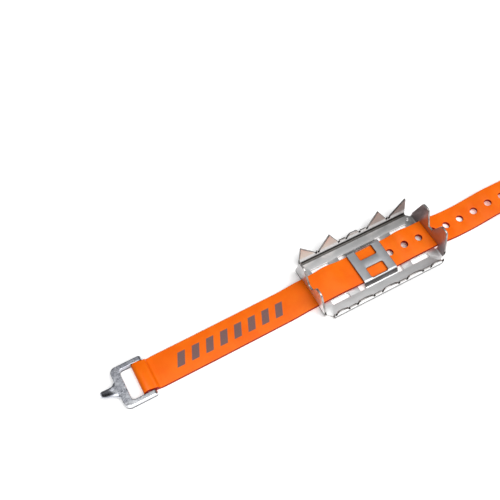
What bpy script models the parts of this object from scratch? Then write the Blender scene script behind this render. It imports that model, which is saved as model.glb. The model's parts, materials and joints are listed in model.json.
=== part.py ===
"""Strap-on shoe ice cleat: a folded steel spike bracket, a polyurethane strap and an aluminium hook buckle.

Metres, +Z up. +X runs along the strap towards its free end, and +Y points to the side with the spikes.
The cleat lies on its sole side, so the teeth that bite the ice point up. Places are drawn from the middle
of the bracket's flat base. At the end the whole cleat moves so that the origin is the middle of its
bounding box, on the surface it lies on.
"""

import math

import bmesh
import bpy
from mathutils import Matrix, Vector, geometry

# Bracket: one stainless sheet, cut flat and then folded
LENGTH = 0.1092
WIDTH = 0.0538
CORNER = 0.0053
SHEET = 0.0016
BEND_INNER = 0.0012
BEND_STEPS = 6
END_LEAN = math.radians(4)
SPIKE_SIDE_LEAN = math.radians(6)
LOW_SIDE_LEAN = 0.0

# Toothed sides, as heights over the base and places along X
RAIL_HEIGHT = 0.0074
RELIEF_HEIGHT = 0.0058
RELIEF_WIDTH = 0.0013
RELIEF_ROUNDNESS = 0.45
BUMP_HEIGHT = 0.0099
SPIKE_HEIGHT = 0.0213
SPIKE_TIP_RADIUS = 0.0005
INNER_SPIKE = (0.01365, 0.0220, 0.0308)
OUTER_SPIKE = (0.0343, 0.0477)
BUMP_HALF = 0.0054
BUMP_TAPER = 0.2
BUMP_CORNER = 0.0015
LOW_BUMP_PITCH = 0.0220
LOW_BUMP_FEET = (-0.0066, 0.0068)
LOW_BUMP_SLOPES = (0.0010, 0.0026)
LOW_BUMP_SHOULDER = 0.0091
LOW_BUMP_CROWN = 0.0080
LOW_BUMP_END_X = 0.0472

# End walls
EAR_HEIGHT = 0.0252
EAR_TOP = (0.0084, 0.0153)
EAR_SHOULDER = (0.0223, 0.0052)
EAR_SHOULDER_CORNER = 0.0020
NOTCH_HALF = 0.0021
NOTCH_HEIGHT = 0.0115
NOTCH_CORNER = 0.0010
EAR_CORNER = 0.0034
STRAP_SLOT_HALF = 0.0132
STRAP_SLOT_TOP = 0.0060
STRAP_SLOT_CORNER = 0.0008
STRAP_SLOT_INTO_BASE = 0.0004

# Openings in the base, and the bridge that holds the strap down
SIDE_SLOT_X = (0.0286, 0.0438)
SIDE_SLOT_Y = (0.0129, 0.0167)
BASE_OPENING_CORNER = 0.0004
CORNER_HOLE = (0.0480, 0.0193)
CORNER_HOLE_RADIUS = 0.0009
OPENING_HALF_X = 0.0195
BRIDGE_HALF_X = 0.0148
BRIDGE_FOOT_Y = 0.0168
BRIDGE_TOP = 0.0064
BRIDGE_BEND = 0.0019
BRIDGE_RISER_ANGLE = math.radians(68)
WINDOW_HALF_X = 0.0074
WINDOW_Y = (0.0038, 0.0125)
BRIDGE_WINDOW_CORNER = 0.0012

# Strap: flat inside the bracket, with a free tail that arches a little and a tail that holds the buckle
STRAP_WIDTH = 0.0250
STRAP_THICK = 0.0026
STRAP_BASE_Z = 0.0019
HOLE_RADIUS = 0.0028
HOLE_PITCH = 0.0135
FIRST_HOLE_X = 0.0174
FOLD_X = 0.0657
STRAP_TIP_X = 0.3110
TIP_RADIUS = 0.0095
FREE_TAIL_DROP_X = (0.0660, 0.0790)
ARCH_HEIGHT = 0.0040
ARCH_RISE_X = (0.0850, 0.1180)
ARCH_FALL_X = (0.1350, 0.2000)
BUCKLE_TAIL_DROP_X = (0.0700, 0.0850)
FOLD_NOSE_ANGLE = math.radians(75)
FIT_GAP = 0.0003

# Buckle, and the strap's eye that turns on its bar
BAR_X = -0.1931
BAR_Z = 0.0037
BAR_RADIUS = 0.0018
EYE_RADIUS = 0.0037
EYE_HALF_WIDTH = 0.0113
EYE_TAPER_X = (0.1815, 0.1880)
EYE_STEP_X = -0.1862
EYE_STEP_Z = 0.0052
EYE_STEP_CORNER = 0.0006
ARM_END_X = -0.1876
BUCKLE_LEFT_X = -0.2120
BUCKLE_HALF_WIDTH = 0.0160
BUCKLE_INNER_HALF = 0.0124
WINDOW_LEFT_X = -0.2057
WINDOW_CORNER = 0.0022
BUCKLE_CORNER = 0.0040
BUCKLE_HEIGHT = 0.0056
BUCKLE_ROUNDING = 0.0007
JOIN_SKIN = 0.00005
HOOK_LENGTH = 0.0114
HOOK_ROOT = 0.0020
HOOK_BASE_Z = 0.0030
HOOK_RISE = 0.0052
HOOK_CURL = 1.7
HOOK_TIP_HALF = 0.0024
HOOK_NECK_FLARE = 0.0031
HOOK_TIP_HALF_THICKNESS = 0.0013
HOOK_NECK_HALF_THICKNESS = 0.0021

STEEL = (0.60, 0.60, 0.62)
ALUMINIUM = (0.72, 0.72, 0.74)
ORANGE = (0.90, 0.16, 0.02)


def clear_scene():
    for old in list(bpy.data.objects):
        bpy.data.objects.remove(old, do_unlink=True)


def make_material(name, colour, roughness, metallic):
    made = bpy.data.materials.new(name)
    made.use_nodes = True
    shader = made.node_tree.nodes["Principled BSDF"]
    shader.inputs["Base Color"].default_value = (*colour, 1.0)
    shader.inputs["Roughness"].default_value = roughness
    shader.inputs["Metallic"].default_value = metallic
    return made


def add_object(name, bm, material, smooth_angle=35):
    """Close the mesh off as a named object with smooth round faces and crisp edges."""
    bmesh.ops.recalc_face_normals(bm, faces=bm.faces)
    mesh = bpy.data.meshes.new(name)
    bm.to_mesh(mesh)
    bm.free()
    mesh.polygons.foreach_set("use_smooth", [True] * len(mesh.polygons))
    mesh.set_sharp_from_angle(angle=math.radians(smooth_angle))
    made = bpy.data.objects.new(name, mesh)
    bpy.context.collection.objects.link(made)
    made.data.materials.append(material)
    return made


def rounded(corners, steps=4):
    """A closed outline from (x, y, radius) corners, each corner turned into an arc."""
    outline = []
    for index, (x, y, radius) in enumerate(corners):
        here = Vector((x, y))
        before = (Vector(corners[index - 1][:2]) - here).normalized()
        after = (Vector(corners[(index + 1) % len(corners)][:2]) - here).normalized()
        half = before.angle(after) / 2
        if radius == 0 or half > math.radians(89):
            outline.append((x, y))
            continue
        centre = here + (before + after).normalized() * radius / math.sin(half)
        first = here + before * radius / math.tan(half) - centre
        last = here + after * radius / math.tan(half) - centre
        turn = first.angle_signed(last)
        for step in range(steps + 1):
            angle = -turn * step / steps
            spoke = Vector((
                first.x * math.cos(angle) - first.y * math.sin(angle),
                first.x * math.sin(angle) + first.y * math.cos(angle),
            ))
            outline.append(tuple(centre + spoke))
    return outline


def circle(x, y, radius, sides=24):
    return [
        (x + radius * math.cos(turn), y + radius * math.sin(turn))
        for turn in (2 * math.pi * side / sides for side in range(sides))
    ]


def box_outline(x_range, y_range, radius):
    (x0, x1), (y0, y1) = sorted(x_range), sorted(y_range)
    return rounded([(x0, y0, radius), (x1, y0, radius), (x1, y1, radius), (x0, y1, radius)])


def inside(outline, x, y):
    """True when the point lies within the closed outline, by counting crossings."""
    hit = False
    for (x0, y0), (x1, y1) in zip(outline, outline[1:] + outline[:1]):
        if (y0 > y) != (y1 > y) and x < x0 + (y - y0) * (x1 - x0) / (y1 - y0):
            hit = not hit
    return hit


def sheet_solid(outline, holes, creases, place):
    """A closed solid from a flat pattern. place(u, v, side) puts a pattern point on face +1 or -1.

    Creases are straight lines that the triangles may not cross, such as the ends of a bend.
    """
    points = []
    edges = []
    for loop in [outline] + holes:
        first = len(points)
        points += [Vector(point) for point in loop]
        edges += [(first + i, first + (i + 1) % len(loop)) for i in range(len(loop))]
    for start, end in creases:
        edges.append((len(points), len(points) + 1))
        points += [Vector(start), Vector(end)]
    flat, _, triangles, *_ = geometry.delaunay_2d_cdt(points, edges, [], 0, 1e-7)
    kept = []
    for triangle in triangles:
        x = sum(flat[i].x for i in triangle) / 3
        y = sum(flat[i].y for i in triangle) / 3
        if inside(outline, x, y) and not any(inside(hole, x, y) for hole in holes):
            kept.append(triangle)
    bm = bmesh.new()
    used = sorted({i for triangle in kept for i in triangle})
    upper = {i: bm.verts.new(place(flat[i].x, flat[i].y, 1)) for i in used}
    lower = {i: bm.verts.new(place(flat[i].x, flat[i].y, -1)) for i in used}
    sides = {}
    for a, b, c in kept:
        bm.faces.new((upper[a], upper[b], upper[c]))
        bm.faces.new((lower[c], lower[b], lower[a]))
        for edge in ((a, b), (b, c), (c, a)):
            sides[frozenset(edge)] = None if frozenset(edge) in sides else edge
    for edge in sides.values():
        if edge:
            a, b = edge
            bm.faces.new((upper[b], upper[a], lower[a], lower[b]))
    return bm


def smooth_step(value, start, end):
    share = min(max((value - start) / (end - start), 0.0), 1.0)
    return share * share * (3 - 2 * share)


# ---------------------------------------------------------------- bracket

MID_BEND = BEND_INNER + SHEET / 2
FLAT_HALF_X = LENGTH / 2 - SHEET - BEND_INNER
FLAT_HALF_Y = WIDTH / 2 - SHEET - BEND_INNER
SIDE_END_X = LENGTH / 2 - CORNER
WALL_END_Y = WIDTH / 2 - CORNER


def fold_path(distance, lean, face):
    """Outward and upward travel of a wall at a distance past the start of its bend."""
    turn = math.pi / 2 - lean
    bend_length = MID_BEND * turn
    angle = min(distance / MID_BEND, turn)
    rest = max(distance - bend_length, 0.0)
    radius = MID_BEND - face * SHEET / 2
    outward = radius * math.sin(angle) + rest * math.cos(turn)
    upward = SHEET / 2 + MID_BEND - radius * math.cos(angle) + rest * math.sin(turn)
    return outward, upward


def reach(height, lean):
    """Pattern distance past the start of the bend at which a wall stands this high."""
    turn = math.pi / 2 - lean
    bend_height = SHEET / 2 + MID_BEND * (1 - math.cos(turn))
    return MID_BEND * turn + (height - bend_height) / math.sin(turn)


def bridge_path(distance):
    """Centre line of the bridge's riser: (inward travel, height, slope) at a distance from its foot."""
    arc = BRIDGE_BEND * BRIDGE_RISER_ANGLE
    arc_rise = BRIDGE_BEND * (1 - math.cos(BRIDGE_RISER_ANGLE))
    arc_run = BRIDGE_BEND * math.sin(BRIDGE_RISER_ANGLE)
    rise = BRIDGE_TOP - SHEET
    riser = (rise - 2 * arc_rise) / math.sin(BRIDGE_RISER_ANGLE)
    if distance <= arc:
        angle = distance / BRIDGE_BEND
        return BRIDGE_BEND * math.sin(angle), BRIDGE_BEND * (1 - math.cos(angle)), angle
    if distance <= arc + riser:
        along = distance - arc
        run = arc_run + along * math.cos(BRIDGE_RISER_ANGLE)
        return run, arc_rise + along * math.sin(BRIDGE_RISER_ANGLE), BRIDGE_RISER_ANGLE
    angle = max(BRIDGE_RISER_ANGLE - (distance - arc - riser) / BRIDGE_BEND, 0.0)
    full_run = 2 * arc_run + riser * math.cos(BRIDGE_RISER_ANGLE)
    over = max(distance - 2 * arc - riser, 0.0)
    return full_run - BRIDGE_BEND * math.sin(angle) + over, rise - BRIDGE_BEND * (1 - math.cos(angle)), angle


def riser_length():
    """Length of sheet from the bridge's foot to the start of its flat top."""
    arc = BRIDGE_BEND * BRIDGE_RISER_ANGLE
    straight = BRIDGE_TOP - SHEET - 2 * BRIDGE_BEND * (1 - math.cos(BRIDGE_RISER_ANGLE))
    return 2 * arc + straight / math.sin(BRIDGE_RISER_ANGLE)


RISER_RUN = bridge_path(riser_length())[0]
FLAT_TOP_Y = BRIDGE_FOOT_Y - RISER_RUN


def place_bracket(u, v, face):
    """Where a point of the flat pattern ends up once the sheet is folded."""
    if abs(u) > FLAT_HALF_X:
        outward, upward = fold_path(abs(u) - FLAT_HALF_X, END_LEAN, face)
        return math.copysign(FLAT_HALF_X + outward, u), v, upward
    if abs(v) > FLAT_HALF_Y:
        lean = SPIKE_SIDE_LEAN if v > 0 else LOW_SIDE_LEAN
        outward, upward = fold_path(abs(v) - FLAT_HALF_Y, lean, face)
        return u, math.copysign(FLAT_HALF_Y + outward, v), upward
    if abs(u) <= BRIDGE_HALF_X + 1e-6 and abs(v) < BRIDGE_FOOT_Y:
        share = min((BRIDGE_FOOT_Y - abs(v)) / RISER_RUN, 1.0)
        run, rise, slope = bridge_path(share * riser_length())
        over = max(FLAT_TOP_Y - abs(v), 0.0)
        y = BRIDGE_FOOT_Y - run - over + face * SHEET / 2 * math.sin(slope)
        return u, math.copysign(y, v), SHEET / 2 + rise + face * SHEET / 2 * math.cos(slope)
    return u, v, SHEET / 2 + face * SHEET / 2


def relief(x, side, lean, rail):
    """The round-bottomed notch at a tooth's foot, walked towards +X. side is the notch's way from x."""
    low = FLAT_HALF_Y + reach(RELIEF_HEIGHT, lean)
    x0, x1 = sorted((x, x + side * RELIEF_WIDTH))
    soft = RELIEF_WIDTH * RELIEF_ROUNDNESS
    return [(x0, rail, 0), (x0, low, soft), (x1, low, soft), (x1, rail, 0)]


def toothed_side(teeth, lean):
    """Pattern corners of one long side, walked towards +X. Each tooth is (x0, x1, tops)."""
    rail = FLAT_HALF_Y + reach(RAIL_HEIGHT, lean)
    corners = [(-SIDE_END_X, FLAT_HALF_Y, 0)]
    for x0, x1, tops in teeth:
        if x0 > -SIDE_END_X:
            corners += relief(x0, -1, lean, rail)
        corners += [(x, FLAT_HALF_Y + reach(height, lean), radius) for x, height, radius in tops]
        if x1 < SIDE_END_X:
            corners += relief(x1, 1, lean, rail)
    return corners + [(SIDE_END_X, FLAT_HALF_Y, 0)]


def spike(x0, tip, x1):
    return x0, x1, [(tip, SPIKE_HEIGHT, SPIKE_TIP_RADIUS)]


def bump(x0, x1):
    inset = (x1 - x0) * BUMP_TAPER
    return x0, x1, [(x0 + inset, BUMP_HEIGHT, BUMP_CORNER), (x1 - inset, BUMP_HEIGHT, BUMP_CORNER)]


def spike_side():
    near, middle, far = INNER_SPIKE
    start, tip = OUTER_SPIKE
    return toothed_side([
        spike(-SIDE_END_X, -tip, -start),
        spike(-far, -middle, -near),
        bump(-BUMP_HALF, BUMP_HALF),
        spike(near, middle, far),
        spike(start, tip, SIDE_END_X),
    ], SPIKE_SIDE_LEAN)


def low_bump(centre):
    """A bump with a steep side towards -X, a crowned top and a gentler side towards +X."""
    x0 = max(centre + LOW_BUMP_FEET[0], -LOW_BUMP_END_X)
    x1 = min(centre + LOW_BUMP_FEET[1], LOW_BUMP_END_X)
    left = x0 + LOW_BUMP_SLOPES[0]
    right = x1 - LOW_BUMP_SLOPES[1]
    crown = ((left + right) / 2, BUMP_HEIGHT, LOW_BUMP_CROWN)
    return x0, x1, [(left, LOW_BUMP_SHOULDER, BUMP_CORNER), crown, (right, LOW_BUMP_SHOULDER, BUMP_CORNER)]


def low_side():
    return toothed_side([low_bump(place * LOW_BUMP_PITCH) for place in range(-2, 3)], LOW_SIDE_LEAN)


def end_wall():
    """Pattern corners of the +X end wall, walked from the spike side to the low side."""
    def at(y, height, radius):
        return FLAT_HALF_X + reach(height, END_LEAN), y, radius

    ear_in, ear_out = EAR_TOP
    shoulder_y, shoulder_z = EAR_SHOULDER
    half = [
        (FLAT_HALF_X, WALL_END_Y, 0),
        at(min(shoulder_y, WALL_END_Y), shoulder_z, EAR_SHOULDER_CORNER),
        at(ear_out, EAR_HEIGHT, EAR_CORNER),
        at(ear_in, EAR_HEIGHT, EAR_CORNER),
        at(NOTCH_HALF, NOTCH_HEIGHT, NOTCH_CORNER),
    ]
    return half + [(x, -y, radius) for x, y, radius in reversed(half)]


def bracket_outline():
    """Walks the whole pattern clockwise as seen from above, starting at the spike side's left end."""
    right = end_wall()
    left = [(-x, y, radius) for x, y, radius in reversed(right)]
    low = [(x, -y, radius) for x, y, radius in reversed(low_side())]
    return rounded(spike_side() + right + low + left)


def bracket_holes():
    holes = [circle(CORNER_HOLE[0], CORNER_HOLE[1], CORNER_HOLE_RADIUS, 12)]
    slot_top = FLAT_HALF_X + reach(STRAP_SLOT_TOP, END_LEAN)
    for sx in (-1, 1):
        strap_slot = (sx * (FLAT_HALF_X - STRAP_SLOT_INTO_BASE), sx * slot_top)
        holes.append(box_outline(strap_slot, (-STRAP_SLOT_HALF, STRAP_SLOT_HALF), STRAP_SLOT_CORNER))
        gap = (sx * BRIDGE_HALF_X, sx * OPENING_HALF_X)
        holes.append(box_outline(gap, (-BRIDGE_FOOT_Y, BRIDGE_FOOT_Y), BASE_OPENING_CORNER))
        for sy in (-1, 1):
            slot_x = [sx * x for x in SIDE_SLOT_X]
            slot_y = [sy * y for y in SIDE_SLOT_Y]
            holes.append(box_outline(slot_x, slot_y, BASE_OPENING_CORNER))
    for sy in (-1, 1):
        window_y = [sy * y for y in WINDOW_Y]
        holes.append(box_outline((-WINDOW_HALF_X, WINDOW_HALF_X), window_y, BRIDGE_WINDOW_CORNER))
    return holes


def bracket_creases():
    """Lines along every bend, so that no triangle crosses from one fold step to the next."""
    lines = []
    for sign in (-1, 1):
        end_turn = math.pi / 2 - END_LEAN
        side_turn = math.pi / 2 - (SPIKE_SIDE_LEAN if sign > 0 else LOW_SIDE_LEAN)
        for step in range(BEND_STEPS + 1):
            x = sign * (FLAT_HALF_X + MID_BEND * end_turn * step / BEND_STEPS)
            lines.append(((x, -WALL_END_Y), (x, WALL_END_Y)))
            y = sign * (FLAT_HALF_Y + MID_BEND * side_turn * step / BEND_STEPS)
            lines.append(((-SIDE_END_X, y), (SIDE_END_X, y)))
        arc_share = BRIDGE_BEND * BRIDGE_RISER_ANGLE / riser_length()
        for step in range(BEND_STEPS + 1):
            for share in (arc_share * step / BEND_STEPS, 1 - arc_share * step / BEND_STEPS):
                y = sign * (BRIDGE_FOOT_Y - RISER_RUN * share)
                lines.append(((-BRIDGE_HALF_X, y), (BRIDGE_HALF_X, y)))
    return lines


def build_bracket():
    steel = make_material("stainless_sheet", STEEL, 0.30, 1.0)
    bm = sheet_solid(bracket_outline(), bracket_holes(), bracket_creases(), place_bracket)
    return add_object("spike_bracket", bm, steel)


# ---------------------------------------------------------------- strap

MIDDLE_Z = STRAP_BASE_Z + STRAP_THICK / 2
NOSE = STRAP_THICK / 2
NOSE_STEPS = 5
FREE_TAIL_BENDS = 30
FREE_TAIL_BEND_STEP = 0.0048
DROP_STEPS = 11
EYE_STEPS = 16


def hole_row(x0, x1):
    """The strap's round holes between two places, counted from the first one."""
    holes = []
    x = FIRST_HOLE_X
    while x < x1:
        if x > x0:
            holes.append(circle(x, 0.0, HOLE_RADIUS))
        x += HOLE_PITCH
    return holes


def build_strap_middle(polyurethane):
    end = FOLD_X - NOSE - FIT_GAP
    outline = box_outline((-end, end), (-STRAP_WIDTH / 2, STRAP_WIDTH / 2), 0.0)

    def place(u, v, face):
        return u, v, MIDDLE_Z + face * STRAP_THICK / 2

    bm = sheet_solid(outline, hole_row(-end, end), [], place)
    return add_object("strap_middle", bm, polyurethane)


def tail_lift(x):
    """Height of the free tail's underside: down to the surface, over a low arch and flat again."""
    arch = ARCH_HEIGHT * smooth_step(x, *ARCH_RISE_X) * (1 - smooth_step(x, *ARCH_FALL_X))
    return STRAP_BASE_Z * (1 - smooth_step(x, *FREE_TAIL_DROP_X)) + arch


def nose_half_thickness(distance):
    """Half thickness of the round nose at a distance before the fold line."""
    return math.sqrt(max(NOSE * NOSE - distance * distance, 0.0))


def build_strap_free_tail(polyurethane):
    nose = NOSE * math.sin(FOLD_NOSE_ANGLE)
    half = STRAP_WIDTH / 2
    outline = rounded([
        (FOLD_X - nose, -half, 0),
        (STRAP_TIP_X, -half, TIP_RADIUS),
        (STRAP_TIP_X, half, TIP_RADIUS),
        (FOLD_X - nose, half, 0),
    ], 8)

    def place(u, v, face):
        thick = nose_half_thickness(FOLD_X - u) if u < FOLD_X else STRAP_THICK / 2
        return u, v, tail_lift(u) + STRAP_THICK / 2 + face * thick

    bends = [FOLD_X - NOSE * math.sin(FOLD_NOSE_ANGLE * step / NOSE_STEPS) for step in range(NOSE_STEPS)]
    bends += [FOLD_X + FREE_TAIL_BEND_STEP * step for step in range(1, FREE_TAIL_BENDS)]
    creases = [((x, -half), (x, half)) for x in bends]
    holes = hole_row(FOLD_X, STRAP_TIP_X - TIP_RADIUS)
    bm = sheet_solid(outline, holes, creases, place)
    return add_object("strap_free_tail", bm, polyurethane)


def eye_outline():
    """Side profile of the buckle tail in X and Z: round nose, flat run, raised step and round eye."""
    profile = []
    for step in range(2 * NOSE_STEPS + 1):
        angle = math.pi / 2 - math.pi * step / (2 * NOSE_STEPS)
        profile.append((-FOLD_X + NOSE * math.cos(angle), MIDDLE_Z + NOSE * math.sin(angle)))
    start, end = BUCKLE_TAIL_DROP_X
    drop = [start + (end - start) * step / (DROP_STEPS - 1) for step in range(DROP_STEPS)]
    under = [(-x, STRAP_BASE_Z * (1 - smooth_step(x, start, end))) for x in drop]
    profile += under
    for step in range(EYE_STEPS + 1):
        angle = -math.pi / 2 - math.pi * step / EYE_STEPS
        profile.append((BAR_X + EYE_RADIUS * math.cos(angle), BAR_Z + EYE_RADIUS * math.sin(angle)))
    soft = EYE_STEP_CORNER
    profile += [
        (EYE_STEP_X - soft, EYE_STEP_Z),
        (EYE_STEP_X, EYE_STEP_Z - soft),
        (EYE_STEP_X + soft / 2, STRAP_THICK + soft),
        (EYE_STEP_X + soft * 1.5, STRAP_THICK),
    ]
    return profile + [(x, z + STRAP_THICK) for x, z in reversed(under)]


def build_strap_buckle_tail(polyurethane):
    def place(u, v, face):
        narrow = smooth_step(-u, *EYE_TAPER_X)
        half = STRAP_WIDTH / 2 * (1 - narrow) + EYE_HALF_WIDTH * narrow
        return u, -face * half, v

    bore = circle(BAR_X, BAR_Z, BAR_RADIUS + FIT_GAP)
    start, end = EYE_TAPER_X
    bends = [-start - (end - start) * step / 4 for step in range(5)]
    creases = [((x, -STRAP_THICK), (x, 3 * STRAP_THICK)) for x in bends]
    bm = sheet_solid(eye_outline(), [bore], creases, place)
    return add_object("strap_buckle_tail", bm, polyurethane)


# ---------------------------------------------------------------- buckle


def cylinder_across(x, z, radius, y0, y1, rounding=0.0):
    """A cylinder along Y, with its two rims rounded if asked."""
    bm = bmesh.new()
    bmesh.ops.create_cone(
        bm, cap_ends=True, segments=32, radius1=radius, radius2=radius, depth=abs(y1 - y0)
    )
    if rounding:
        rims = [edge for edge in bm.edges if edge.verts[0].co.z * edge.verts[1].co.z > 0]
        bmesh.ops.bevel(bm, geom=rims, offset=rounding, segments=2, profile=0.5, affect="EDGES")
    bmesh.ops.rotate(bm, verts=bm.verts, matrix=Matrix.Rotation(math.pi / 2, 3, "X"))
    bmesh.ops.translate(bm, verts=bm.verts, vec=(x, (y0 + y1) / 2, z))
    return bm


ARM_NOSE = BUCKLE_HEIGHT / 2
ARM_NOSE_X = ARM_END_X - ARM_NOSE


def frame_body():
    """The buckle's U frame, open towards the strap, drawn as one outline and raised."""
    inner = BUCKLE_INNER_HALF
    outer = BUCKLE_HALF_WIDTH
    outline = rounded([
        (ARM_NOSE_X, -outer, 0),
        (ARM_NOSE_X, -inner, 0),
        (WINDOW_LEFT_X, -inner, WINDOW_CORNER),
        (WINDOW_LEFT_X, inner, WINDOW_CORNER),
        (ARM_NOSE_X, inner, 0),
        (ARM_NOSE_X, outer, 0),
        (BUCKLE_LEFT_X, outer, BUCKLE_CORNER),
        (BUCKLE_LEFT_X, -outer, BUCKLE_CORNER),
    ])
    bm = bmesh.new()
    bottom = bm.faces.new([bm.verts.new((x, y, 0.0)) for x, y in outline])
    raised = bmesh.ops.extrude_face_region(bm, geom=[bottom])["geom"]
    top = [item for item in raised if isinstance(item, bmesh.types.BMVert)]
    bmesh.ops.translate(bm, verts=top, vec=(0, 0, BUCKLE_HEIGHT))
    bmesh.ops.recalc_face_normals(bm, faces=bm.faces)
    rim = [edge for edge in bm.edges if edge.verts[0].co.z == edge.verts[1].co.z]
    bmesh.ops.bevel(bm, geom=rim, offset=BUCKLE_ROUNDING, segments=2, profile=0.5, affect="EDGES")
    return bm


def hook_section(share):
    """Half width, half thickness, height and slope of the hook, from the neck (0) to the tip (1)."""
    half = HOOK_TIP_HALF + HOOK_NECK_FLARE * (1 - share) ** 1.5 + HOOK_NECK_FLARE * max(1 - 5 * share, 0)
    spread = HOOK_NECK_HALF_THICKNESS - HOOK_TIP_HALF_THICKNESS
    thick = HOOK_TIP_HALF_THICKNESS + spread * (1 - share)
    height = HOOK_BASE_Z + HOOK_RISE * share ** HOOK_CURL
    slope = math.atan(HOOK_CURL * share ** (HOOK_CURL - 1) * HOOK_RISE / HOOK_LENGTH)
    return half, thick, height, slope


def hook_body():
    """The hook: a tongue that narrows, thins and curls upward away from the frame."""
    stations = 9
    sides = 12
    rings = []
    bm = bmesh.new()
    for step in range(stations):
        share = step / (stations - 1)
        x = BUCKLE_LEFT_X + HOOK_ROOT - share * (HOOK_LENGTH + HOOK_ROOT)
        half, thick, height, slope = hook_section(share)
        section = []
        for corner in range(sides):
            angle = 2 * math.pi * corner / sides
            across = math.copysign(abs(math.cos(angle)) ** 0.5, math.cos(angle)) * half
            up = math.copysign(abs(math.sin(angle)) ** 0.5, math.sin(angle)) * thick
            section.append(bm.verts.new((x + up * math.sin(slope), across, height + up * math.cos(slope))))
        rings.append(section)
    for near, far in zip(rings, rings[1:]):
        for i in range(sides):
            bm.faces.new((near[i], near[(i + 1) % sides], far[(i + 1) % sides], far[i]))
    bm.faces.new(list(reversed(rings[0])))
    bm.faces.new(rings[-1])
    return bm


def join(target, bm, name):
    """Adds a closed mesh to the target with an exact Boolean union."""
    piece = add_object(name, bm, target.data.materials[0])
    union = target.modifiers.new(name, "BOOLEAN")
    union.operation = "UNION"
    union.object = piece
    bpy.context.view_layer.update()
    evaluated = target.evaluated_get(bpy.context.evaluated_depsgraph_get())
    merged = bpy.data.meshes.new_from_object(evaluated)
    target.modifiers.remove(union)
    target.data = merged
    bpy.data.objects.remove(piece, do_unlink=True)


def build_buckle():
    aluminium = make_material("cast_aluminium", ALUMINIUM, 0.35, 1.0)
    buckle = add_object("hook_buckle", frame_body(), aluminium)
    for side in (-1, 1):
        inner, outer = side * (BUCKLE_INNER_HALF + JOIN_SKIN), side * (BUCKLE_HALF_WIDTH - JOIN_SKIN)
        nose = cylinder_across(ARM_NOSE_X, ARM_NOSE, ARM_NOSE - JOIN_SKIN, inner, outer, BUCKLE_ROUNDING)
        join(buckle, nose, "arm_nose")
    bar_end = (BUCKLE_INNER_HALF + BUCKLE_HALF_WIDTH) / 2
    join(buckle, cylinder_across(BAR_X, BAR_Z, BAR_RADIUS, -bar_end, bar_end), "bar")
    join(buckle, hook_body(), "hook")
    buckle.data.set_sharp_from_angle(angle=math.radians(35))
    return buckle


def set_origin(made, point):
    """Moves an object's origin to its joint's axis without moving its faces."""
    shift = Vector(point)
    for vertex in made.data.vertices:
        vertex.co -= shift
    made.location = shift


def centre_on_origin(pieces):
    """Moves the whole cleat sideways so that the middle of its bounding box is over the origin."""
    corners = [piece.location + vertex.co for piece in pieces for vertex in piece.data.vertices]
    shift = Vector((0.0, 0.0, 0.0))
    for axis in (0, 1):
        values = [corner[axis] for corner in corners]
        shift[axis] = -(min(values) + max(values)) / 2
    for piece in pieces:
        piece.location += shift


def main():
    clear_scene()
    polyurethane = make_material("orange_polyurethane", ORANGE, 0.38, 0.0)
    bracket = build_bracket()
    middle = build_strap_middle(polyurethane)
    free_tail = build_strap_free_tail(polyurethane)
    buckle_tail = build_strap_buckle_tail(polyurethane)
    buckle = build_buckle()
    set_origin(free_tail, (FOLD_X, 0, MIDDLE_Z))
    set_origin(buckle_tail, (-FOLD_X, 0, MIDDLE_Z))
    set_origin(buckle, (BAR_X, 0, BAR_Z))
    centre_on_origin([bracket, middle, free_tail, buckle_tail, buckle])


main()
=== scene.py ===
"""The strap-on ice cleat: a folded steel bracket, a polyurethane strap and a cast hook buckle.

Shapes are drawn in metres from the middle of the bracket's base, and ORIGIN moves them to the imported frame.
"""

import json
import math

import bmesh
import bpy
from mathutils import Matrix, Vector, geometry


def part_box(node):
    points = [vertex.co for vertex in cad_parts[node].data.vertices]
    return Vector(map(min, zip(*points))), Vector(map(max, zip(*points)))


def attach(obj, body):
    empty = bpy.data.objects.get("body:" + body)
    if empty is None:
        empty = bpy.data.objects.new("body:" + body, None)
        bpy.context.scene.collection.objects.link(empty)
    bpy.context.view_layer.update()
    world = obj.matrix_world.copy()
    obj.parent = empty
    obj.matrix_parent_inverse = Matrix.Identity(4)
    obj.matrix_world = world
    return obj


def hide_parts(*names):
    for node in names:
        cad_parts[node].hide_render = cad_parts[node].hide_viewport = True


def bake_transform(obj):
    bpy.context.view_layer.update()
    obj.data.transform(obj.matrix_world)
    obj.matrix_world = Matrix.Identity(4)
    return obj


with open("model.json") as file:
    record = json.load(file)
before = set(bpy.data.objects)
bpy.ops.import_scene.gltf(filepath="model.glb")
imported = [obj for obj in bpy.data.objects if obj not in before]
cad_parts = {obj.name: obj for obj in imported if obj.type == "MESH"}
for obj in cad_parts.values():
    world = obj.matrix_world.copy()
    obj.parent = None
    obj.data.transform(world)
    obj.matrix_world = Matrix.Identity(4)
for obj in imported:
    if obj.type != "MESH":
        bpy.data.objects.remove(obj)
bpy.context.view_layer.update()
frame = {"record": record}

BRACKET_LOW, BRACKET_HIGH = [Vector(corner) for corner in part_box("spike_bracket")]
STRAP_LOW, STRAP_HIGH = [Vector(corner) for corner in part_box("strap_middle")]
JOINTS = {joint["name"]: joint for joint in frame["record"]["behaviour"]["joints"]}
ORIGIN = Vector((
    (BRACKET_LOW.x + BRACKET_HIGH.x) / 2,
    (STRAP_LOW.y + STRAP_HIGH.y) / 2,
    0.0,
))


def joint_place(name):
    return Vector(JOINTS[name]["pos_m"]) - ORIGIN


# ---------------------------------------------------------------- outlines and folded sheets

MITRE_FLOOR = 0.2
MITRE_LIMIT = 2.0
STRAIGHT_HALF = math.radians(89)
MERGE_DISTANCE = 1e-7


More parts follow.
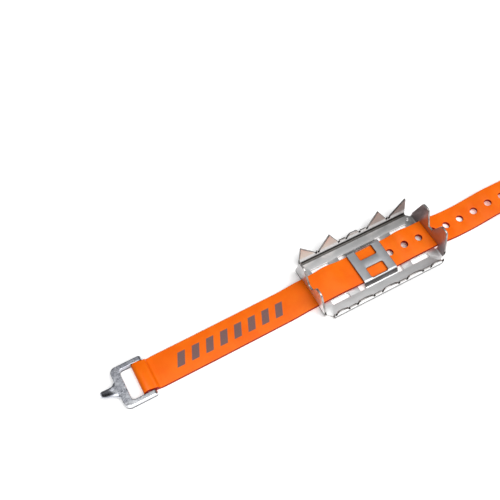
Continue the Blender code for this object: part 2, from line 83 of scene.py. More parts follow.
def rounded(corners, steps=6):
    """A closed outline from (x, y, radius) corners, each corner turned into an arc."""
    outline = []
    for index, (x, y, radius) in enumerate(corners):
        here = Vector((x, y))
        before = (Vector(corners[index - 1][:2]) - here).normalized()
        after = (Vector(corners[(index + 1) % len(corners)][:2]) - here).normalized()
        half = before.angle(after) / 2
        if radius == 0 or half > STRAIGHT_HALF:
            outline.append((x, y))
            continue
        centre = here + (before + after).normalized() * radius / math.sin(half)
        first = here + before * radius / math.tan(half) - centre
        last = here + after * radius / math.tan(half) - centre
        turn = first.angle_signed(last)
        for step in range(steps + 1):
            spoke = first.copy()
            spoke.rotate(Matrix.Rotation(-turn * step / steps, 2))
            outline.append(tuple(centre + spoke))
    return outline


def circle(x, y, radius, sides=40):
    """A closed round outline."""
    return [
        (x + radius * math.cos(turn), y + radius * math.sin(turn))
        for turn in (2 * math.pi * side / sides for side in range(sides))
    ]


def box_outline(x_range, y_range, radius):
    """A closed rectangle with round corners. Each range may be given in either order."""
    (x0, x1), (y0, y1) = sorted(x_range), sorted(y_range)
    return rounded([(x0, y0, radius), (x1, y0, radius), (x1, y1, radius), (x0, y1, radius)])


def area(loop):
    """The area inside a closed loop, positive when it runs anticlockwise."""
    ends = zip(loop, loop[1:] + loop[:1])
    return sum(x0 * y1 - x1 * y0 for (x0, y0), (x1, y1) in ends) / 2


def offset(loop, distance):
    """The closed loop moved to its right-hand side by a distance, corner by corner."""
    moved = []
    for index, (x, y) in enumerate(loop):
        back = Vector((x, y)) - Vector(loop[index - 1])
        ahead = Vector(loop[(index + 1) % len(loop)]) - Vector((x, y))
        side = Vector((back.y, -back.x)).normalized() + Vector((ahead.y, -ahead.x)).normalized()
        stretch = min(2 / max(side.length_squared, MITRE_FLOOR), MITRE_LIMIT)
        moved.append((x + side.x * distance * stretch, y + side.y * distance * stretch))
    return moved


def inside(outline, x, y):
    """Whether a point lies inside a closed outline."""
    hit = False
    for (x0, y0), (x1, y1) in zip(outline, outline[1:] + outline[:1]):
        if (y0 > y) != (y1 > y) and x < x0 + (y - y0) * (x1 - x0) / (y1 - y0):
            hit = not hit
    return hit


RIM_STEPS = 4
RIM = [
    (math.sin(turn), 1 - math.cos(turn))
    for turn in (math.pi / 2 * step / RIM_STEPS for step in range(1, RIM_STEPS + 1))
]


def sheet_solid(outline, holes, creases, place, soft, half_thick):
    """A closed solid from a flat pattern, with its cut rims rounded by the radius soft.

    place(u, v, level) puts a pattern point at a level from -1, the lower face, to +1, the upper face.
    Creases are lines that triangles may not cross. Rim faces get material 1.
    """
    loops = [outline if area(outline) > 0 else outline[::-1]]
    loops += [hole if area(hole) < 0 else hole[::-1] for hole in holes]
    loops = [offset(loop, -soft) for loop in loops]
    points = []
    edges = []
    for loop in loops:
        first = len(points)
        points += [Vector(point) for point in loop]
        edges += [(first + i, first + (i + 1) % len(loop)) for i in range(len(loop))]
    for start, end in creases:
        edges.append((len(points), len(points) + 1))
        points += [Vector(start), Vector(end)]
    flat, _, triangles, *_ = geometry.delaunay_2d_cdt(points, edges, [], 0, MERGE_DISTANCE)
    kept = []
    for triangle in triangles:
        x = sum(flat[i].x for i in triangle) / 3
        y = sum(flat[i].y for i in triangle) / 3
        if inside(loops[0], x, y) and not any(inside(hole, x, y) for hole in loops[1:]):
            kept.append(triangle)
    bm = bmesh.new()
    used = sorted({i for triangle in kept for i in triangle})
    upper = {i: bm.verts.new(place(flat[i].x, flat[i].y, 1.0)) for i in used}
    lower = {i: bm.verts.new(place(flat[i].x, flat[i].y, -1.0)) for i in used}
    borders = {}
    for a, b, c in kept:
        bm.faces.new((upper[a], upper[b], upper[c]))
        bm.faces.new((lower[c], lower[b], lower[a]))
        for edge in ((a, b), (b, c), (c, a)):
            borders[frozenset(edge)] = None if frozenset(edge) in borders else edge
    borders = [edge for edge in borders.values() if edge]
    normals = {}
    for a, b in borders:
        way = (flat[b] - flat[a]).normalized()
        for i in (a, b):
            normals.setdefault(i, []).append(Vector((way.y, -way.x)))
    step = soft / half_thick
    rings = {}
    for i, sides in normals.items():
        side = sum(sides, Vector((0.0, 0.0)))
        side *= min(2 / max(side.length_squared, MITRE_FLOOR), MITRE_LIMIT)
        ring = [upper[i]]
        levels = [(out, 1 - step * drop) for out, drop in RIM]
        for out, level in levels + [(out, -level) for out, level in reversed(levels)]:
            u, v = flat[i] + side * soft * out
            ring.append(bm.verts.new(place(u, v, level)))
        rings[i] = ring + [lower[i]]
    for a, b in borders:
        for k in range(len(rings[a]) - 1):
            face = bm.faces.new((rings[b][k], rings[a][k], rings[a][k + 1], rings[b][k + 1]))
            face.material_index = 1
    return bm


def smooth_step(value, start, end):
    """Rises smoothly from 0 at the start to 1 at the end."""
    share = min(max((value - start) / (end - start), 0.0), 1.0)
    return share * share * (3 - 2 * share)


def finish_piece(name, bm, materials, smooth_angle=38):
    """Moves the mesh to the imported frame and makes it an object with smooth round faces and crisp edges."""
    bmesh.ops.recalc_face_normals(bm, faces=bm.faces)
    mesh = bpy.data.meshes.new(name)
    bm.to_mesh(mesh)
    bm.free()
    mesh.transform(Matrix.Translation(ORIGIN))
    mesh.polygons.foreach_set("use_smooth", [True] * len(mesh.polygons))
    mesh.set_sharp_from_angle(angle=math.radians(smooth_angle))
    made = bpy.data.objects.new(name, mesh)
    bpy.context.collection.objects.link(made)
    for material in materials:
        mesh.materials.append(material)
    return made


def flank_share(x, normal):
    """How much the strap faces sideways at a point. At the raised eye only the two long edges count."""
    if x < EYE_START_X:
        return 1.0 - math.sqrt(1.0 - min(abs(normal.y), 1.0) ** 2)
    return 1.0 - abs(normal.z)


def keep_rest_place(made):
    """Stores each point's place and how much it faces sideways.

    The finish is drawn from these.
    """
    mesh = made.data
    rest = mesh.attributes.new("rest", "FLOAT_VECTOR", "POINT")
    places = [vertex.co - ORIGIN for vertex in mesh.vertices]
    rest.data.foreach_set("vector", [value for place in places for value in place])
    flank = mesh.attributes.new("flank", "FLOAT", "POINT")
    shares = [flank_share(vertex.co.x - ORIGIN.x, vertex.normal) for vertex in mesh.vertices]
    flank.data.foreach_set("value", shares)


# ---------------------------------------------------------------- bracket

LENGTH = 0.1092
WIDTH = 0.0538
CORNER = 0.0053
SHEET = 0.0016
HALF_SHEET = SHEET / 2
BEND_INNER = 0.0012
BEND_STEPS = 12
END_LEAN = math.radians(4)
SPIKE_SIDE_LEAN = math.radians(6)
LOW_SIDE_LEAN = 0.0
CUT_ROUNDING = 0.00035

RAIL_HEIGHT = 0.0074
RAIL_CORNER = 0.0004
RELIEF_HEIGHT = 0.0058
RELIEF_WIDTH = 0.0013
RELIEF_ROUNDING = 0.45
BUMP_HEIGHT = 0.0099
SPIKE_HEIGHT = 0.0213
SPIKE_TIP_RADIUS = 0.0005
INNER_SPIKE = (0.01365, 0.0220, 0.0308)
OUTER_SPIKE = (0.0343, 0.0477)
BUMP_HALF = 0.0054
BUMP_TAPER = 0.2
BUMP_CORNER = 0.0015
LOW_BUMP_PITCH = 0.0220
LOW_BUMP_FEET = (-0.0066, 0.0068)
LOW_BUMP_SLOPES = (0.0010, 0.0026)
LOW_BUMP_SHOULDER = 0.0091
LOW_BUMP_CROWN = 0.0080
LOW_BUMP_END_X = 0.0472

EAR_HEIGHT = 0.0252
EAR_TOP = (0.0084, 0.0153)
EAR_SHOULDER = (0.0223, 0.0052)
EAR_SHOULDER_CORNER = 0.002
EAR_CORNER = 0.0034
NOTCH_HALF = 0.0021
NOTCH_HEIGHT = 0.0115
NOTCH_CORNER = 0.0008
STRAP_SLOT_HALF = 0.0132
STRAP_SLOT_TOP = 0.0060
STRAP_SLOT_CORNER = 0.0008
STRAP_SLOT_INSET = 0.0004

SIDE_SLOT_X = (0.0286, 0.0438)
SIDE_SLOT_Y = (0.0129, 0.0167)
SIDE_SLOT_CORNER = 0.0005
CORNER_HOLE = (0.0480, 0.0193)
CORNER_HOLE_RADIUS = 0.0009
OPENING_HALF_X = 0.0195
OPENING_CORNER = 0.0004
BRIDGE_HALF_X = 0.0148
BRIDGE_FOOT_Y = 0.0168
BRIDGE_TOP = 0.0064
BRIDGE_BEND = 0.0019
BRIDGE_RISER_ANGLE = math.radians(68)
WINDOW_HALF_X = 0.0074
WINDOW_Y = (0.0038, 0.0125)
WINDOW_CORNER = 0.0012

MID_BEND = BEND_INNER + HALF_SHEET
FLAT_HALF_X = LENGTH / 2 - SHEET - BEND_INNER
FLAT_HALF_Y = WIDTH / 2 - SHEET - BEND_INNER
SIDE_END_X = LENGTH / 2 - CORNER
WALL_END_Y = WIDTH / 2 - CORNER


def fold_path(distance, lean, level):
    """Outward and upward travel of a wall at a distance past the start of its bend."""
    turn = math.pi / 2 - lean
    angle = min(distance / MID_BEND, turn)
    rest = max(distance - MID_BEND * turn, 0.0)
    radius = MID_BEND - level * HALF_SHEET
    outward = radius * math.sin(angle) + rest * math.cos(turn)
    upward = HALF_SHEET + MID_BEND - radius * math.cos(angle) + rest * math.sin(turn)
    return outward, upward


def reach(height, lean):
    """Pattern distance past the start of the bend at which a wall stands this high."""
    turn = math.pi / 2 - lean
    bend_height = HALF_SHEET + MID_BEND * (1 - math.cos(turn))
    return MID_BEND * turn + (height - bend_height) / math.sin(turn)


RISE = BRIDGE_TOP - SHEET
ARC = BRIDGE_BEND * BRIDGE_RISER_ANGLE
ARC_RISE = BRIDGE_BEND * (1 - math.cos(BRIDGE_RISER_ANGLE))
ARC_RUN = BRIDGE_BEND * math.sin(BRIDGE_RISER_ANGLE)
RISER = (RISE - 2 * ARC_RISE) / math.sin(BRIDGE_RISER_ANGLE)
RISER_LENGTH = 2 * ARC + RISER
RISER_RUN = 2 * ARC_RUN + RISER * math.cos(BRIDGE_RISER_ANGLE)


def bridge_path(distance):
    """Inward travel, height and slope of the bridge's riser at a distance from its foot."""
    if distance <= ARC:
        angle = distance / BRIDGE_BEND
        return BRIDGE_BEND * math.sin(angle), BRIDGE_BEND * (1 - math.cos(angle)), angle
    if distance <= ARC + RISER:
        along = distance - ARC
        run = ARC_RUN + along * math.cos(BRIDGE_RISER_ANGLE)
        return run, ARC_RISE + along * math.sin(BRIDGE_RISER_ANGLE), BRIDGE_RISER_ANGLE
    angle = max(BRIDGE_RISER_ANGLE - (distance - ARC - RISER) / BRIDGE_BEND, 0.0)
    run = RISER_RUN - BRIDGE_BEND * math.sin(angle)
    return run, RISE - BRIDGE_BEND * (1 - math.cos(angle)), angle


def place_bracket(u, v, level):
    """Where a point of the flat pattern ends up once the sheet is folded."""
    if abs(u) > FLAT_HALF_X:
        outward, upward = fold_path(abs(u) - FLAT_HALF_X, END_LEAN, level)
        return math.copysign(FLAT_HALF_X + outward, u), v, upward
    if abs(v) > FLAT_HALF_Y:
        lean = SPIKE_SIDE_LEAN if v > 0 else LOW_SIDE_LEAN
        outward, upward = fold_path(abs(v) - FLAT_HALF_Y, lean, level)
        return u, math.copysign(FLAT_HALF_Y + outward, v), upward
    if abs(u) <= BRIDGE_HALF_X + 1e-6 and abs(v) < BRIDGE_FOOT_Y:
        share = min((BRIDGE_FOOT_Y - abs(v)) / RISER_RUN, 1.0)
        run, rise, slope = bridge_path(share * RISER_LENGTH)
        over = max(BRIDGE_FOOT_Y - RISER_RUN - abs(v), 0.0)
        y = BRIDGE_FOOT_Y - run - over + level * HALF_SHEET * math.sin(slope)
        return u, math.copysign(y, v), HALF_SHEET + rise + level * HALF_SHEET * math.cos(slope)
    return u, v, HALF_SHEET + level * HALF_SHEET


def relief(x, side, lean, rail):
    """The round-bottomed notch at a tooth's foot, walked towards +X. side is the notch's way from x."""
    low = FLAT_HALF_Y + reach(RELIEF_HEIGHT, lean)
    x0, x1 = sorted((x, x + side * RELIEF_WIDTH))
    soft = RELIEF_WIDTH * RELIEF_ROUNDING
    return [(x0, rail, 0), (x0, low, soft), (x1, low, soft), (x1, rail, 0)]


def toothed_side(teeth, lean):
    """Pattern corners of one long side, walked towards +X. Each tooth is (x0, x1, tops)."""
    rail = FLAT_HALF_Y + reach(RAIL_HEIGHT, lean)
    corners = [(-SIDE_END_X, FLAT_HALF_Y, 0)]
    if teeth[0][0] > -SIDE_END_X:
        corners.append((-SIDE_END_X, rail, RAIL_CORNER))
    for x0, x1, tops in teeth:
        if x0 > -SIDE_END_X:
            corners += relief(x0, -1, lean, rail)
        corners += [(x, FLAT_HALF_Y + reach(height, lean), radius) for x, height, radius in tops]
        if x1 < SIDE_END_X:
            corners += relief(x1, 1, lean, rail)
    if teeth[-1][1] < SIDE_END_X:
        corners.append((SIDE_END_X, rail, RAIL_CORNER))
    return corners + [(SIDE_END_X, FLAT_HALF_Y, 0)]


def spike(x0, tip, x1):
    """A tall pointed tooth."""
    return x0, x1, [(tip, SPIKE_HEIGHT, SPIKE_TIP_RADIUS)]


def bump(x0, x1):
    """The spike side's low flat-topped tooth."""
    inset = (x1 - x0) * BUMP_TAPER
    return x0, x1, [(x0 + inset, BUMP_HEIGHT, BUMP_CORNER), (x1 - inset, BUMP_HEIGHT, BUMP_CORNER)]


def spike_side():
    """Pattern corners of the side with four tall spikes and one low tooth."""
    near, middle, far = INNER_SPIKE
    start, tip = OUTER_SPIKE
    return toothed_side([
        spike(-SIDE_END_X, -tip, -start),
        spike(-far, -middle, -near),
        bump(-BUMP_HALF, BUMP_HALF),
        spike(near, middle, far),
        spike(start, tip, SIDE_END_X),
    ], SPIKE_SIDE_LEAN)


def low_bump(centre):
    """A bump with a steep side towards -X, a crowned top and a gentler side towards +X."""
    x0 = max(centre + LOW_BUMP_FEET[0], -LOW_BUMP_END_X)
    x1 = min(centre + LOW_BUMP_FEET[1], LOW_BUMP_END_X)
    left = x0 + LOW_BUMP_SLOPES[0]
    right = x1 - LOW_BUMP_SLOPES[1]
    return x0, x1, [
        (left, LOW_BUMP_SHOULDER, BUMP_CORNER),
        ((left + right) / 2, BUMP_HEIGHT, LOW_BUMP_CROWN),
        (right, LOW_BUMP_SHOULDER, BUMP_CORNER),
    ]


def low_side():
    """Pattern corners of the side with five low teeth, walked towards +X as if it were the +Y side."""
    teeth = [low_bump(step * LOW_BUMP_PITCH) for step in range(-2, 3)]
    return toothed_side(teeth, LOW_SIDE_LEAN)


def end_wall():
    """Pattern corners of the +X end wall, walked from the spike side to the low side."""
    def at(y, height, radius):
        return FLAT_HALF_X + reach(height, END_LEAN), y, radius

    half = [
        (FLAT_HALF_X, WALL_END_Y, 0),
        at(min(EAR_SHOULDER[0], WALL_END_Y), EAR_SHOULDER[1], EAR_SHOULDER_CORNER),
        at(EAR_TOP[1], EAR_HEIGHT, EAR_CORNER),
        at(EAR_TOP[0], EAR_HEIGHT, EAR_CORNER),
        at(NOTCH_HALF, NOTCH_HEIGHT, NOTCH_CORNER),
    ]
    return half + [(x, -y, radius) for x, y, radius in reversed(half)]


def bracket_outline():
    """The whole flat blank, walked round once."""
    right = end_wall()
    left = [(-x, y, radius) for x, y, radius in reversed(right)]
    low = [(x, -y, radius) for x, y, radius in reversed(low_side())]
    return rounded(spike_side() + right + low + left)


def bracket_holes():
    """The corner hole, strap slots, openings beside the bridge, side slots and bridge windows."""
    holes = [circle(CORNER_HOLE[0], CORNER_HOLE[1], CORNER_HOLE_RADIUS, 20)]
    slot_top = FLAT_HALF_X + reach(STRAP_SLOT_TOP, END_LEAN)
    for sx in (-1, 1):
        strap_slot = (sx * (FLAT_HALF_X - STRAP_SLOT_INSET), sx * slot_top)
        holes.append(box_outline(strap_slot, (-STRAP_SLOT_HALF, STRAP_SLOT_HALF), STRAP_SLOT_CORNER))
        gap = (sx * BRIDGE_HALF_X, sx * OPENING_HALF_X)
        holes.append(box_outline(gap, (-BRIDGE_FOOT_Y, BRIDGE_FOOT_Y), OPENING_CORNER))
        for sy in (-1, 1):
            slot_x = [sx * x for x in SIDE_SLOT_X]
            slot_y = [sy * y for y in SIDE_SLOT_Y]
            holes.append(box_outline(slot_x, slot_y, SIDE_SLOT_CORNER))
    for sy in (-1, 1):
        window_y = [sy * y for y in WINDOW_Y]
        holes.append(box_outline((-WINDOW_HALF_X, WINDOW_HALF_X), window_y, WINDOW_CORNER))
    return holes


def bracket_creases():
    """Lines along every bend, so that no triangle crosses from one fold step to the next."""
    lines = []
    for sign in (-1, 1):
        end_turn = math.pi / 2 - END_LEAN
        side_turn = math.pi / 2 - (SPIKE_SIDE_LEAN if sign > 0 else LOW_SIDE_LEAN)
        for step in range(BEND_STEPS + 1):
            x = sign * (FLAT_HALF_X + MID_BEND * end_turn * step / BEND_STEPS)
            lines.append(((x, -WALL_END_Y), (x, WALL_END_Y)))
            y = sign * (FLAT_HALF_Y + MID_BEND * side_turn * step / BEND_STEPS)
            lines.append(((-SIDE_END_X, y), (SIDE_END_X, y)))
            for share in (ARC * step / BEND_STEPS, RISER_LENGTH - ARC * step / BEND_STEPS):
                y = sign * (BRIDGE_FOOT_Y - RISER_RUN * share / RISER_LENGTH)
                lines.append(((-BRIDGE_HALF_X, y), (BRIDGE_HALF_X, y)))
    return lines


# ---------------------------------------------------------------- strap

STRAP_HALF = 0.0125
STRAP_THICK = 0.0026
STRAP_BASE_Z = 0.0019
STRAP_ROUNDING = 0.00038
STRAP_SMOOTH_ANGLE = 60
SLOPE_STEP = 0.0004
HOLE_RADIUS = 0.0028
HOLE_PITCH = 0.0135
FIRST_HOLE_X = 0.0174
SEAM_X = -0.0110
SEAM_SPARE = 0.004
SEAM_CREASE_SPARE = 0.003
FREE_BEND_X = joint_place("free_tail_bend").x
BUCKLE_BEND_X = joint_place("buckle_tail_bend").x
BEND_REACH = 0.0057
FINE_CREASE = 0.0010
COARSE_CREASE = 0.0024
TIP_CREASE_SPARE = 0.001
TIP_X = Vector(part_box("strap_free_tail")[1]).x - ORIGIN.x
TIP_RADIUS = 0.0095
TIP_STEPS = 14
TAIL_DRIFT = 0.0014
DRIFT_RANGE = (0.015, 0.190)

# Distances from the middle over which each half comes down to the table outside its end wall.
FREE_DESCENT = (0.058, 0.077)
BUCKLE_DESCENT = (0.058, 0.078)

# Humps along the strap, each as height, range of its rise and range of its fall.
FREE_HUMP = (0.0008, (0.018, 0.034), (0.054, 0.070))
BUCKLE_HUMP = (0.0007, (0.018, 0.032), (0.038, 0.056))
FREE_ARCH = (0.0040, (0.085, 0.118), (0.135, 0.200))
FREE_BULGE = (0.0017, (0.0228, 0.0310), (0.0310, 0.0460))
BUCKLE_BULGE = (0.0017, (0.0228, 0.0340), (0.0360, 0.0460))

BAR = joint_place("buckle_hinge")
EYE_RADIUS = 0.0037
EYE_HALF = 0.0119
EYE_START_X = -0.1790
EYE_NARROWING = (0.1812, 0.1880)
EYE_SHOULDER_Z = 0.0052
EYE_SHOULDER = (0.1846, 0.1866)
EYE_RISE_START = 0.1864
EYE_END_DEGREES = 84
EYE_END_STEPS = 12
EYE_CREASE_START_X = -0.1780
EYE_CREASE = 0.0006
EYE_CREASES = 25
EYE_CREASE_SPARE = 0.0001
GROOVE_X = -0.1830
GROOVE_WIDTH = 0.0014
GROOVE_DEPTH = 0.0002


def hump(distance, height, rise, fall):
    """Height of a hump that rises over one range of distances and falls over another."""
    return height * smooth_step(distance, *rise) * (1 - smooth_step(distance, *fall))


def spike_edge_share(v):
    """How much of a bulge shows across the strap: none at the low-tooth edge, all at the spike edge."""
    return smooth_step(v, -STRAP_HALF, STRAP_HALF)


def strap_base(x):
    """Height of the strap's underside along its length."""
    down = smooth_step(x, *FREE_DESCENT) if x > 0 else smooth_step(-x, *BUCKLE_DESCENT)
    lift = STRAP_BASE_Z * (1 - down)
    return lift + hump(x, *FREE_HUMP) + hump(-x, *BUCKLE_HUMP) + hump(x, *FREE_ARCH)


def strap_drift(x):
    """Sideways bow of the buckle end."""
    return -TAIL_DRIFT * smooth_step(-x, *DRIFT_RANGE)


def eye_half_height(x):
    """Half the eye's height at a place past its middle."""
    return math.sqrt(max(EYE_RADIUS ** 2 - (BAR.x - x) ** 2, 0.0))


def tail_top(x):
    """Height of the buckle end's upper face: flat strap, a groove, a step and the round eye."""
    if x < BAR.x:
        return BAR.z + eye_half_height(x)
    flat = strap_base(x) + STRAP_THICK
    groove = -GROOVE_DEPTH * math.exp(-(((x - GROOVE_X) / GROOVE_WIDTH) ** 2))
    step = (EYE_SHOULDER_Z - STRAP_THICK) * smooth_step(-x, *EYE_SHOULDER)
    rise = (BAR.z + EYE_RADIUS - EYE_SHOULDER_Z) * smooth_step(-x, EYE_RISE_START, -BAR.x)
    return flat + groove + step + rise


def tail_base(x):
    """Height of the buckle end's underside."""
    if x < BAR.x:
        return BAR.z - eye_half_height(x)
    return strap_base(x)


def place_strap(u, v, level):
    """Where a point of the flat strap lies, from the seam to the free tip."""
    slope = (strap_base(u + SLOPE_STEP) - strap_base(u - SLOPE_STEP)) / (2 * SLOPE_STEP)
    lift = STRAP_THICK / 2 * (1 + level)
    x = u - (lift - STRAP_THICK / 2) * math.sin(math.atan(slope))
    bulge = hump(u, *FREE_BULGE) * spike_edge_share(v)
    return x, v + strap_drift(u), strap_base(u) + lift + bulge


def place_buckle_tail(u, v, level):
    """Where a point of the flat strap lies, from the eye to the seam."""
    narrow = smooth_step(-u, *EYE_NARROWING)
    y = v * (1 - narrow * (1 - EYE_HALF / STRAP_HALF))
    base, top = tail_base(u), tail_top(u)
    bulge = hump(-u, *BUCKLE_BULGE) * spike_edge_share(v)
    return u, y + strap_drift(u), base + (top - base) * (1 + level) / 2 + bulge


def close_seam(bm, keep_side):
    """Cuts the strap at the seam under the bridge and closes it with a flat end."""
    cut = bmesh.ops.bisect_plane(
        bm,
        geom=bm.verts[:] + bm.edges[:] + bm.faces[:],
        plane_co=(SEAM_X, 0, 0),
        plane_no=(keep_side, 0, 0),
        clear_inner=True,
    )
    rim = [item for item in cut["geom_cut"] if isinstance(item, bmesh.types.BMEdge)]
    bmesh.ops.contextual_create(bm, geom=rim)


def strap_creases(x0, x1):
    """Cross lines along the strap, closer together where it bends at a joint."""
    lines = []
    x = x0
    while x < x1:
        lines.append(((x, -STRAP_HALF), (x, STRAP_HALF)))
        near_bend = min(abs(x - FREE_BEND_X), abs(x - BUCKLE_BEND_X)) < 2 * BEND_REACH
        x += FINE_CREASE if near_bend else COARSE_CREASE
    return lines


def build_free_strap(materials):
    """The punched half of the strap, from the seam to the free tip."""
    outline = rounded([
        (SEAM_X - SEAM_SPARE, -STRAP_HALF, 0),
        (TIP_X, -STRAP_HALF, TIP_RADIUS),
        (TIP_X, STRAP_HALF, TIP_RADIUS),
        (SEAM_X - SEAM_SPARE, STRAP_HALF, 0),
    ], TIP_STEPS)
    holes = []
    x = FIRST_HOLE_X
    while x < TIP_X - TIP_RADIUS:
        holes.append(circle(x, 0.0, HOLE_RADIUS))
        x += HOLE_PITCH
    creases = strap_creases(SEAM_X - SEAM_CREASE_SPARE, TIP_X - TIP_CREASE_SPARE)
    bm = sheet_solid(outline, holes, creases, place_strap, STRAP_ROUNDING, STRAP_THICK / 2)
    close_seam(bm, 1)
    return finish_piece("strap_free_end", bm, materials, STRAP_SMOOTH_ANGLE)


def eye_place(degrees):
    """Place along the strap at an angle round the eye, from its top at 0 to its end at 90."""
    return BAR.x - EYE_RADIUS * math.sin(math.radians(degrees))


def build_buckle_strap(materials):
    """The plain half of the strap, from the eye to the seam."""
    eye_end = eye_place(EYE_END_DEGREES)
    outline = [
        (eye_end, -STRAP_HALF),
        (SEAM_X + SEAM_SPARE, -STRAP_HALF),
        (SEAM_X + SEAM_SPARE, STRAP_HALF),
        (eye_end, STRAP_HALF),
    ]
    lines = strap_creases(EYE_CREASE_START_X, SEAM_X + SEAM_CREASE_SPARE)
    bends = [eye_place(step * EYE_END_DEGREES / EYE_END_STEPS) for step in range(EYE_END_STEPS)]
    bends += [EYE_CREASE_START_X - EYE_CREASE * step for step in range(EYE_CREASES)]
    bends = [x for x in bends if x > eye_end + EYE_CREASE_SPARE]
    lines += [((x, -STRAP_HALF), (x, STRAP_HALF)) for x in bends]
    bm = sheet_solid(outline, [], lines, place_buckle_tail, STRAP_ROUNDING, STRAP_THICK / 2)
    close_seam(bm, -1)
    return finish_piece("strap_buckle_end", bm, materials, STRAP_SMOOTH_ANGLE)


# ---------------------------------------------------------------- buckle

BUCKLE_LEFT_X = -0.2120
BUCKLE_HALF = 0.0160
BUCKLE_INNER_HALF = 0.0124
WINDOW_LEFT_X = -0.2057
BUCKLE_HEIGHT = 0.0056
ARM_END_X = -0.1876
BAR_RADIUS = 0.0018
BAR_INSET = 0.0012
BUCKLE_CORNER = 0.0045
BUCKLE_WINDOW_CORNER = 0.0022
BUCKLE_CORNER_STEPS = 8
HOOK_LENGTH = 0.0114
HOOK_ROOT = 0.0026
HOOK_STATIONS = 30
HOOK_SIDES = 28
HOOK_TIP_HALF = 0.0026
HOOK_TAPER = 0.0029
HOOK_FLARE = 0.0062
HOOK_TIP_THICK = 0.0013
HOOK_NECK_THICKENING = 0.0009
HOOK_LOW_Z = 0.0034
HOOK_RISE = 0.0047
HOOK_TILT_RISE = 0.0050
HOOK_CURL = 1.7
HOOK_TIP_START = 0.9
HOOK_TIP_ROUNDING = 0.45
HOOK_SQUARENESS = 0.6
HOOK_DISH = 0.0007
HOOK_DISH_RANGE = (0.15, 0.5)
CAST_VOXEL = 0.00026
CAST_SMOOTHING = 5


def add_tube(bm, x, z, radius, y0, y1, sides=40):
    """Adds a round bar along Y."""
    made = bmesh.ops.create_cone(
        bm, cap_ends=True, segments=sides, radius1=radius, radius2=radius, depth=abs(y1 - y0)
    )
    turn = Matrix.Translation((x, (y0 + y1) / 2, z)) @ Matrix.Rotation(math.pi / 2, 4, "X")
    bmesh.ops.transform(bm, matrix=turn, verts=made["verts"])


def add_frame(bm):
    """Adds the buckle's U frame, open towards the strap."""
    nose_x = ARM_END_X - BUCKLE_HEIGHT / 2
    outline = rounded([
        (nose_x, -BUCKLE_HALF, 0),
        (nose_x, -BUCKLE_INNER_HALF, 0),
        (WINDOW_LEFT_X, -BUCKLE_INNER_HALF, BUCKLE_WINDOW_CORNER),
        (WINDOW_LEFT_X, BUCKLE_INNER_HALF, BUCKLE_WINDOW_CORNER),
        (nose_x, BUCKLE_INNER_HALF, 0),
        (nose_x, BUCKLE_HALF, 0),
        (BUCKLE_LEFT_X, BUCKLE_HALF, BUCKLE_CORNER),
        (BUCKLE_LEFT_X, -BUCKLE_HALF, BUCKLE_CORNER),
    ], BUCKLE_CORNER_STEPS)
    bottom = bm.faces.new([bm.verts.new((x, y, 0.0)) for x, y in outline])
    raised = bmesh.ops.extrude_face_region(bm, geom=[bottom])["geom"]
    top = [item for item in raised if isinstance(item, bmesh.types.BMVert)]
    bmesh.ops.translate(bm, verts=top, vec=(0, 0, BUCKLE_HEIGHT))


def hook_section(share):
    """Half width, half thickness, height and slope of the hook, from the neck (0) to the tip (1)."""
    flare = max(1 - 2.2 * share, 0) ** 1.8
    half = HOOK_TIP_HALF + HOOK_TAPER * (1 - share) ** 1.6 + HOOK_FLARE * flare
    if share > HOOK_TIP_START:
        past = (share - HOOK_TIP_START) / (1 - HOOK_TIP_START)
        half *= math.sqrt(1 - past ** 2 * HOOK_TIP_ROUNDING)
    thick = HOOK_TIP_THICK + HOOK_NECK_THICKENING * (1 - share)
    height = HOOK_LOW_Z + HOOK_RISE * share ** HOOK_CURL
    slope = math.atan(HOOK_CURL * share ** (HOOK_CURL - 1) * HOOK_TILT_RISE / HOOK_LENGTH)
    return half, thick, height, slope


def square_round(value):
    """Bends a sine or cosine so that a circle turns into a rounded square."""
    return math.copysign(abs(value) ** HOOK_SQUARENESS, value)


def add_hook(bm):
    """Adds the hook: a tongue with a dished top that narrows, thins and curls upward."""
    rings = []
    for step in range(HOOK_STATIONS):
        share = step / (HOOK_STATIONS - 1)
        x = BUCKLE_LEFT_X + HOOK_ROOT - share * (HOOK_LENGTH + HOOK_ROOT)
        half, thick, height, slope = hook_section(share)
        section = []
        for corner in range(HOOK_SIDES):
            angle = 2 * math.pi * corner / HOOK_SIDES
            across = square_round(math.cos(angle))
            up = square_round(math.sin(angle)) * thick
            if up > 0:
                up -= HOOK_DISH * (1 - across * across) * smooth_step(share, *HOOK_DISH_RANGE)
            place = (x + up * math.sin(slope), across * half, height + up * math.cos(slope))
            section.append(bm.verts.new(place))
        rings.append(section)
    for near, far in zip(rings, rings[1:]):
        for i in range(HOOK_SIDES):
            after = (i + 1) % HOOK_SIDES
            bm.faces.new((near[i], near[after], far[after], far[i]))
    bm.faces.new(list(reversed(rings[0])))
    bm.faces.new(rings[-1])


